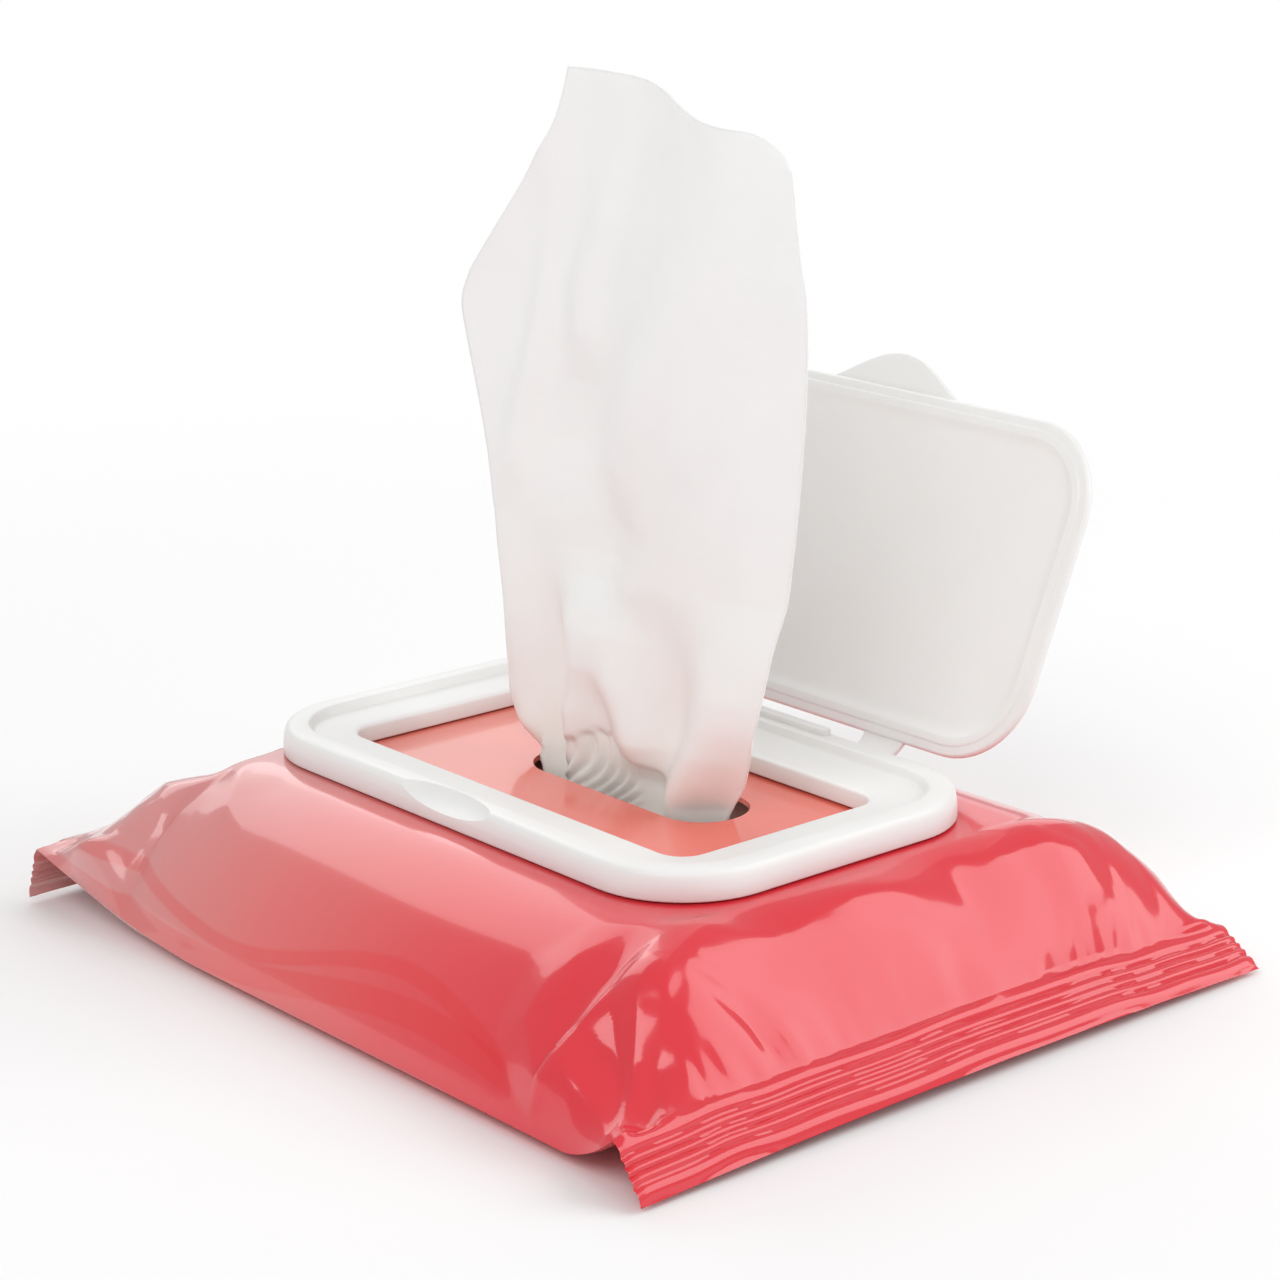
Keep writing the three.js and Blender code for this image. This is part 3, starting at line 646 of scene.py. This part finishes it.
below = ease(hem - z, -HEM_EDGE / 2, HEM_EDGE / 2) * ease(x, *HEM_LEFT) * (1 - ease(x, *HEM_RIGHT))
y += HEM_DEPTH * below - SLOT_LEAN * (1 - ease(z, *SLOT_LEAN_ENDS))
curl = x + PLEAT_CURL * (z - PLEAT_LEVEL) ** 2
pleated = below * (1 - ease(x, *PLEATS_END))
y += PLEAT_DEPTH * pleated * np.cos(2 * np.pi * curl / PLEAT_PITCH)
back_bend = np.interp(z, BACK_BEND_Z, BACK_BEND_X)
y += BACK_BEND_SLOPE * np.clip(x - back_bend, 0, None) * ease(z, *BACK_BEND_STARTS)
y += FOOT_TURN * ease(across, FOOT_TURN_FROM, 1) * (1 - ease(z, *FOOT_TURN_ENDS))
past_straight = np.clip(np.abs(x - SLOT_CENTRE[0] / MM) - SLOT_HALF / MM, 0, SLOT_ROOM_END)
room = np.sqrt(SLOT_ROOM ** 2 - past_straight ** 2)
in_slot = SLOT_CENTRE[1] / MM + np.clip(y - SLOT_CENTRE[1] / MM, -room, room)
y = mix(in_slot, y, ease(z, *SLOT_FREE))
place_vertices(wipe, np.stack([x, y, z], -1) * MM)
bpy.ops.object.select_all(action="DESELECT")
wipe.select_set(True)
bpy.context.view_layer.objects.active = wipe
wall = wipe.modifiers.new("wall", "SOLIDIFY")
wall.thickness = WIPE_THICK
wall.offset = 0
bpy.ops.object.modifier_apply(modifier=wall.name)
bpy.ops.object.shade_smooth()
wipe.data.materials.append(damp_cloth)
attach(wipe, "pack")
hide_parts("pulled_wipe")
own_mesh(wipe)

# Dispenser frame: a satin white polypropylene ring, moulded in one with the lid and glued round the slot.
# Its crest rolls over into a seat for the lid, and a thin lip stands round the opening.
FRAME_Z = 26.5 * MM
CREST = 4.9 * MM
CREST_ROUND = 2 * MM
CREST_SQUARE = 0.62
RIM = 4.4 * MM
SEAT_STEP = 0.9 * MM
SEAT = 3.4 * MM
LIP = (11.6 * MM, 3.1 * MM)
LIP_EASE = (12.6 * MM, 2.8 * MM)
MARGIN = 13 * MM
BACK_EXTRA = 2.4 * MM
CORNER_SEGMENTS = 16


# Steps the selected face in by one distance and along its normal by another.
def step_face(inward, along):
    bpy.ops.mesh.inset(thickness=inward, depth=along, use_even_offset=True)


ring = rounded_plate(
    "dispenser_frame",
    (-FRAME_HALF[0], -FRAME_HALF[1], FRAME_Z),
    (FRAME_HALF[0], FRAME_HALF[1], FRAME_Z),
    FRAME_CORNER, CORNER_SEGMENTS,
)
profile = [(0, 0)]
for turn in np.radians(np.linspace(15, 90, 6)):
    inward = CREST_ROUND * (1 - math.cos(turn) ** CREST_SQUARE)
    profile.append((inward, CREST * math.sin(turn) ** CREST_SQUARE))
profile += [(RIM, CREST), (RIM + SEAT_STEP, SEAT), LIP, LIP_EASE, (MARGIN, 0)]
for (inset, height), (next_inset, next_height) in zip(profile, profile[1:]):
    step_face(next_inset - inset, next_height - height)
    extra = BACK_EXTRA * (next_inset ** 2 - inset ** 2) / MARGIN ** 2
    mesh = bmesh.from_edit_mesh(ring.data)
    for vertex in mesh.verts:
        if vertex.select and vertex.co.y > 0:
            vertex.co.y -= extra
    bmesh.update_edit_mesh(ring.data)
bpy.ops.mesh.delete(type="FACE")
bpy.ops.mesh.select_mode(type="EDGE")
bpy.ops.mesh.select_non_manifold(extend=False)
bpy.ops.mesh.bridge_edge_loops()
bpy.ops.mesh.select_all(action="SELECT")
bpy.ops.mesh.normals_make_consistent(inside=False)
bpy.ops.object.mode_set(mode="OBJECT")
EDGE_ROUND = 0.35 * MM
MOULD_SMOOTH = math.radians(40)


def round_edges(piece, width, segments, angle=28):
    bpy.ops.object.select_all(action="DESELECT")
    piece.select_set(True)
    bpy.context.view_layer.objects.active = piece
    edge = piece.modifiers.new("edge", "BEVEL")
    edge.width = width
    edge.segments = segments
    edge.angle_limit = math.radians(angle)
    bpy.ops.object.modifier_apply(modifier=edge.name)
    bpy.ops.object.shade_smooth_by_angle(angle=MOULD_SMOOTH)


round_edges(ring, EDGE_ROUND, 3)
SCOOP = (15 * MM, 7.5 * MM, 4.5 * MM)
SCOOP_PLACE = (0, -FRAME_HALF[1] - 3.6 * MM, FRAME_Z + CREST + 1.1 * MM)
bpy.ops.object.select_all(action="DESELECT")
bpy.ops.mesh.primitive_uv_sphere_add(segments=64, ring_count=32, radius=1)
scoop = bpy.context.object
scoop.data.transform(Matrix.Translation(SCOOP_PLACE) @ Matrix.Diagonal((*SCOOP, 1)))
combine(ring, scoop)
RIB_HALF = (17.5 * MM, 1 * MM)
RIB_RISE = 1 * MM
RIB_SUNK = 0.4 * MM
RIB_CORNER = 0.95 * MM
RIB_ROUND = 0.3 * MM
rib = rounded_plate(
    "back_rib",
    (-RIB_HALF[0], FRAME_HALF[1] - RIM / 2 - RIB_HALF[1], FRAME_Z + CREST - RIB_SUNK),
    (RIB_HALF[0], FRAME_HALF[1] - RIM / 2 + RIB_HALF[1], FRAME_Z + CREST - RIB_SUNK),
    RIB_CORNER, 6,
)
bpy.ops.mesh.extrude_region_move(TRANSFORM_OT_translate={"value": (0, 0, RIB_RISE + RIB_SUNK)})
bpy.ops.mesh.select_all(action="SELECT")
bpy.ops.mesh.normals_make_consistent(inside=False)
bpy.ops.object.mode_set(mode="OBJECT")
round_edges(rib, RIB_ROUND, 3)
combine(ring, rib, "UNION")
bpy.ops.object.shade_smooth_by_angle(angle=MOULD_SMOOTH)
LID_WHITE = (0.9, 0.9, 0.885)
LID_SHADE = (0.87, 0.87, 0.855)
moulded_white, shader = new_finish(
    "satin_polypropylene", Roughness=0.34, IOR=1.49, Subsurface_Weight=0.2, Subsurface_Scale=2 * MM,
)
shader.inputs["Subsurface Radius"].default_value = (1.0, 0.9, 0.8)
place = add_node(moulded_white, "ShaderNodeTexCoord").outputs["Object"]
flow = add_node(moulded_white, "ShaderNodeTexNoise", Vector=place, Scale=28.0, Detail=2.0)
tone = ramp_of(moulded_white, flow.outputs[0], ((0.3, LID_SHADE), (0.7, LID_WHITE)))
moulded_white.node_tree.links.new(tone, shader.inputs["Base Color"])
stipple = add_node(moulded_white, "ShaderNodeTexNoise", Vector=place, Scale=1500.0, Detail=1.0)
surface_bump(moulded_white, shader, stipple.outputs[0], 0.06, 0.1 * MM)
gloss = range_node(moulded_white, flow.outputs[0], 0.3, 0.7, 0.3, 0.4)
moulded_white.node_tree.links.new(gloss, shader.inputs["Roughness"])
ring.data.materials.clear()
ring.data.materials.append(moulded_white)
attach(ring, "pack")
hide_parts("lid_frame")

# Lid: a thin moulded plate of the same plastic, with a raised bead inside its edge that presses into the
# frame, a faintly crowned outer face and a thumb tab. It is modelled shut, then swung open on its hinge.
LID_HALF = (50 * MM, 28.85 * MM)
LID_Y = 0.05 * MM
LID_Z = 30.45 * MM
LID_CORNER = 15 * MM
LID_EDGE = 0.4 * MM
LID_FLANGE = 1.6 * MM
CROWN = 0.8 * MM
BEAD_INSET = 1.7 * MM
BEAD_END = 3 * MM
BEAD_HEIGHT = 0.25 * MM
BEAD_SLOPE = 0.2 * MM
FILLET = 2.8 * MM
TRAY = 0.8 * MM
FACE_MIDDLE = 9 * MM
FACE_END = 13 * MM
LID_ROUND = 0.22 * MM
LEAST_STEP = 0.002 * MM
lid = rounded_plate(
    "flip_top",
    (-LID_HALF[0], LID_Y - LID_HALF[1], LID_Z + LID_EDGE),
    (LID_HALF[0], LID_Y + LID_HALF[1], LID_Z + LID_EDGE),
    LID_CORNER, CORNER_SEGMENTS,
)
outer_face = (
    (0, LID_EDGE), (0, LID_FLANGE - LID_EDGE), (LID_EDGE, LID_FLANGE),
    (BEAD_END, LID_FLANGE + 0.3 * CROWN), (FACE_MIDDLE, LID_FLANGE + 0.8 * CROWN),
    (FACE_END, LID_FLANGE + 0.93 * CROWN),
)
for (inset, height), (next_inset, next_height) in zip(outer_face, outer_face[1:]):
    step_face(max(next_inset - inset, LEAST_STEP), next_height - height)
bpy.ops.mesh.select_mode(type="EDGE")
bpy.ops.mesh.select_non_manifold(extend=False)
bpy.ops.mesh.edge_face_add()
bpy.ops.mesh.select_mode(type="FACE")
bpy.ops.mesh.normals_make_consistent(inside=False)
inner_face = (
    (0, LID_EDGE), (LID_EDGE, 0), (BEAD_INSET, 0), (BEAD_INSET + BEAD_SLOPE, -BEAD_HEIGHT),
    (BEAD_END + BEAD_SLOPE, -BEAD_HEIGHT), (BEAD_END + 0.4 * FILLET, 0.5 * TRAY),
    (BEAD_END + 0.7 * FILLET, 0.85 * TRAY), (BEAD_END + FILLET, TRAY), (FACE_END, TRAY),
)
for (inset, height), (next_inset, next_height) in zip(inner_face, inner_face[1:]):
    step_face(next_inset - inset, height - next_height)
bpy.ops.object.mode_set(mode="OBJECT")
round_edges(lid, LID_ROUND, 3, 20)

TAB_HALF = 15 * MM
TAB_REACH = 6.2 * MM
TAB_ROOT = 4 * MM
TAB_BOTTOM = 31.7 * MM
TAB_THICK = 1.1 * MM
TAB_BELL = 0.6
TAB_ROUND = 0.3 * MM
tab, spots = new_grid("thumb_tab", 48, 8)
bell = (0.5 + 0.5 * np.cos(np.pi * spots[:, 0])) ** TAB_BELL
tab_y = LID_Y - LID_HALF[1] + TAB_ROOT - (spots[:, 1] + 1) / 2 * (TAB_ROOT + TAB_REACH * bell)
place_vertices(tab, np.stack([spots[:, 0] * TAB_HALF, tab_y, np.full_like(tab_y, TAB_BOTTOM)], -1))
wall = tab.modifiers.new("wall", "SOLIDIFY")
wall.thickness = TAB_THICK
wall.offset = -1
bpy.ops.object.modifier_apply(modifier=wall.name)
bpy.ops.object.mode_set(mode="EDIT")
bpy.ops.mesh.select_all(action="SELECT")
bpy.ops.mesh.normals_make_consistent(inside=False)
bpy.ops.object.mode_set(mode="OBJECT")
round_edges(tab, TAB_ROUND, 3, 40)
combine(lid, tab, "UNION")
bpy.ops.object.shade_smooth_by_angle(angle=MOULD_SMOOTH)

hinge = next(joint for joint in frame["record"]["behaviour"]["joints"] if joint["name"] == "lid_hinge")
HINGE = Vector(hinge["pos_m"])
OPEN_ANGLE = math.radians(113.3)
swing = Matrix.Translation(HINGE) @ Matrix.Rotation(-OPEN_ANGLE, 4, "X") @ Matrix.Translation(-HINGE)
lid.data.transform(swing)
lid.data.materials.clear()
lid.data.materials.append(moulded_white)
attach(lid, "lid")
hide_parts("flip_lid")

# Hinge straps: two thin tongues of the same moulding between the frame's back wall and the lid's edge.
# They are thinned across the middle, where the real straps bend as the lid turns; here they are modelled
# already bent, to meet the open lid.
STRAP_X = 22.4 * MM
STRAP_HALF = 4.6 * MM
STRAP_THICK = 0.8 * MM
STRAP_WAIST = 0.08
STRAP_ROUND = 0.25 * MM
STRAP_ROOT = Vector((0, 34.7 * MM, 28 * MM))
STRAP_BEND = Vector((0, 39.6 * MM, 27.9 * MM))
STRAP_TIP = swing @ Vector((0, LID_Y + LID_HALF[1] - 0.3 * MM, LID_Z + LID_FLANGE / 2))
for name, centre in (("strap_left", -STRAP_X), ("strap_right", STRAP_X)):
    strap, spots = new_grid(name, 8, 20)
    h = ((spots[:, 1] + 1) / 2)[:, None]
    path = (1 - h) ** 2 * np.array(STRAP_ROOT) + h ** 2 * np.array(STRAP_TIP)
    path += 2 * h * (1 - h) * np.array(STRAP_BEND)
    waist = 1 - STRAP_WAIST * np.sin(np.pi * h[:, 0])
    path[:, 0] = centre + spots[:, 0] * STRAP_HALF * waist
    place_vertices(strap, path)
    wall = strap.modifiers.new("wall", "SOLIDIFY")
    wall.thickness = STRAP_THICK
    wall.offset = 0
    bpy.ops.object.modifier_apply(modifier=wall.name)
    bpy.ops.object.mode_set(mode="EDIT")
    bpy.ops.mesh.select_all(action="SELECT")
    bpy.ops.mesh.normals_make_consistent(inside=False)
    bpy.ops.object.mode_set(mode="OBJECT")
    round_edges(strap, STRAP_ROUND, 2, 50)
    strap.data.materials.append(moulded_white)
    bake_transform(strap)
    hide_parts("hinge_" + name)

# Floor: a wide sweep of matt white paper. It takes the pack's shadow, and further out it is lit from
# below, so that it ends in plain white.
FLOOR_SIZE = 12
SHADOW_REACH = (0.16, 0.5)
bpy.ops.object.select_all(action="DESELECT")
bpy.ops.mesh.primitive_plane_add(size=FLOOR_SIZE, location=(0, 0, -0.05 * MM))
floor = bpy.context.object
floor.name = "floor"
paper, shader = new_finish("pale_paper", Roughness=0.9)
shader.inputs["Base Color"].default_value = (0.96, 0.96, 0.96, 1)
shader.inputs["Specular IOR Level"].default_value = 0.1
place = add_node(paper, "ShaderNodeTexCoord").outputs["Object"]
far = add_node(paper, "ShaderNodeVectorMath", {"operation": "LENGTH"}, i0=place)
glow = add_node(
    paper, "ShaderNodeMapRange", {"interpolation_type": "SMOOTHSTEP"},
    i0=far.outputs["Value"], i1=SHADOW_REACH[0], i2=SHADOW_REACH[1], i3=0.0, i4=1.0,
)
ray = add_node(paper, "ShaderNodeLightPath").outputs
mirrored = add_node(
    paper, "ShaderNodeMath", {"operation": "ADD"}, i0=ray["Is Glossy Ray"], i1=ray["Is Transmission Ray"],
)
seen = add_node(
    paper, "ShaderNodeMath", {"operation": "ADD", "use_clamp": True},
    i0=ray["Is Camera Ray"], i1=mirrored.outputs[0],
)
share = add_node(paper, "ShaderNodeMath", {"operation": "MULTIPLY"}, i0=glow.outputs[0], i1=seen.outputs[0])
white = add_node(paper, "ShaderNodeEmission", Color=(1, 1, 1, 1), Strength=1.0)
sweep = add_node(
    paper, "ShaderNodeMixShader", i0=share.outputs[0], i1=shader.outputs[0], i2=white.outputs[0],
)
paper.node_tree.links.new(sweep.outputs[0], paper.node_tree.nodes["Material Output"].inputs["Surface"])
floor.data.materials.append(paper)

# Light: an even white room, with a softbox and a card on the left, a softbox behind on the right, and
# one over the camera.
world = bpy.data.worlds.new("studio")
bpy.context.scene.world = world
world.use_nodes = True
world.node_tree.nodes["Background"].inputs["Color"].default_value = (1, 1, 1, 1)
world.node_tree.nodes["Background"].inputs["Strength"].default_value = 0.52
AIM = Vector((0, 0, 0.03))
SOFTBOXES = (
    ("softbox_left", (-1.15, 0.35, 1.0), 1.1, 0.9, 4.2),
    ("card_left", (-1.0, 0.86, 0.5), 1.2, 0.6, 1.5),
    ("softbox_right", (0.75, 0.8, 0.8), 1.0, 1.1, 7.0),
    ("softbox_front", (0.5, -1.1, 1.3), 1.2, 0.9, 9.5),
)
for name, spot, width, height, power in SOFTBOXES:
    bpy.ops.object.light_add(type="AREA", location=spot)
    lamp = bpy.context.object
    lamp.name = name
    lamp.data.shape = "RECTANGLE"
    lamp.data.size = width
    lamp.data.size_y = height
    lamp.data.energy = power
    lamp.rotation_euler = (AIM - Vector(spot)).to_track_quat("-Z", "Y").to_euler()

# Camera: a little above the pack, off its front right corner.
bpy.ops.object.camera_add(location=(0.3916, -0.3352, 0.2008))
camera = bpy.context.object
camera.rotation_euler = (math.radians(73.73), 0, math.radians(48.9))
camera.data.sensor_width = 36
camera.data.lens = 93.0
bpy.context.scene.camera = camera
bpy.context.scene.view_settings.view_transform = "Standard"
